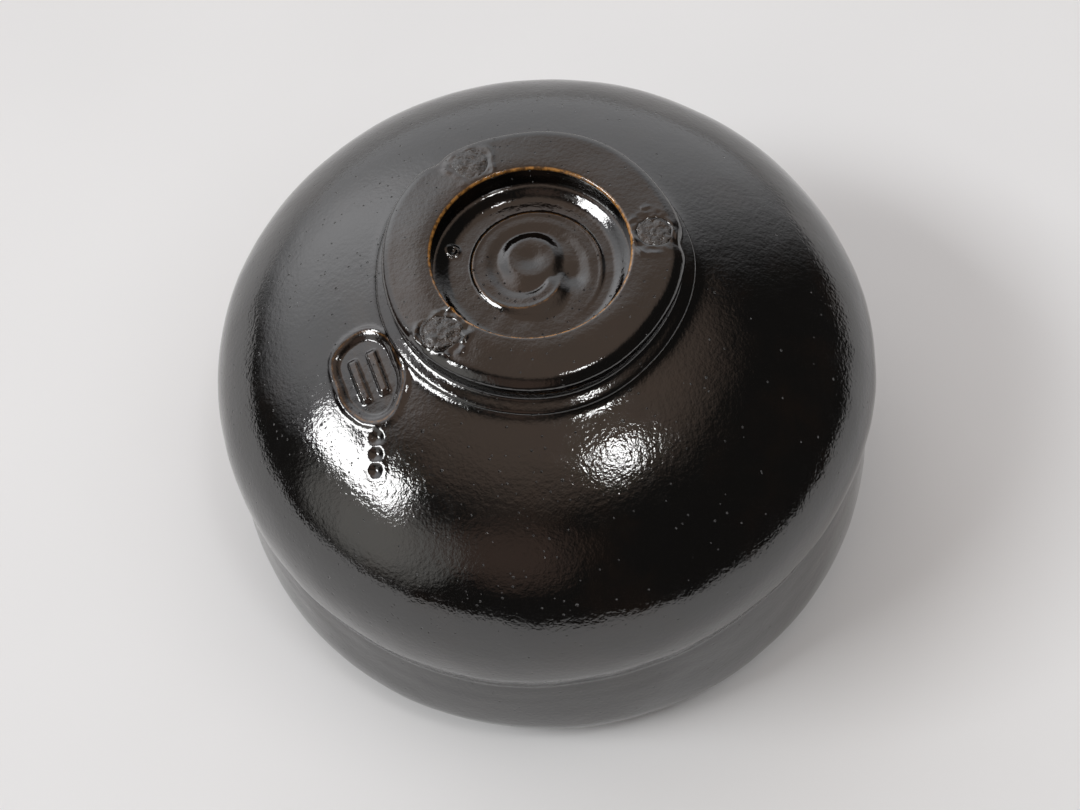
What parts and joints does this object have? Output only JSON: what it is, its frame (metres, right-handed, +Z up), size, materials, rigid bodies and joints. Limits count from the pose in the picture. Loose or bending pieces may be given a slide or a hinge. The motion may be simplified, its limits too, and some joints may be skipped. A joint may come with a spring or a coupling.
{
  "type": "tea bowl",
  "caption": "Hand-built black glazed tea bowl standing mouth down, with a waisted wall, a low foot ring, a spiral in the foot's well and stilt scars on its face.",
  "frame": {"origin": "middle of the mouth in the plane of the lip, which the bowl stands on upside down", "axes": "+Z up from the lip through the foot ring, so the mouth faces -Z; -Y is the side with the low, soft part of the crease"},
  "size_m": [0.124, 0.124, 0.074],
  "materials": {
    "clay": "low-fired, unglazed under the coats",
    "black_glaze": "glossy near-black glaze with fine orange peel and pinholes",
    "thin_glaze": "glossy black glaze that thins to amber brown on ridges",
    "scar": "rough, where the glaze pulled away from a stilt"
  },
  "bodies": {
    "root": {"clay_body": "clay", "foot_ring": "clay", "outer_glaze": "black_glaze", "lip_glaze": "black_glaze", "inner_glaze": "black_glaze", "foot_glaze": "black_glaze", "well_glaze": "thin_glaze", "stilt_scar_1": "scar", "stilt_scar_2": "scar", "stilt_scar_3": "scar"}
  },
  "joints": []
}
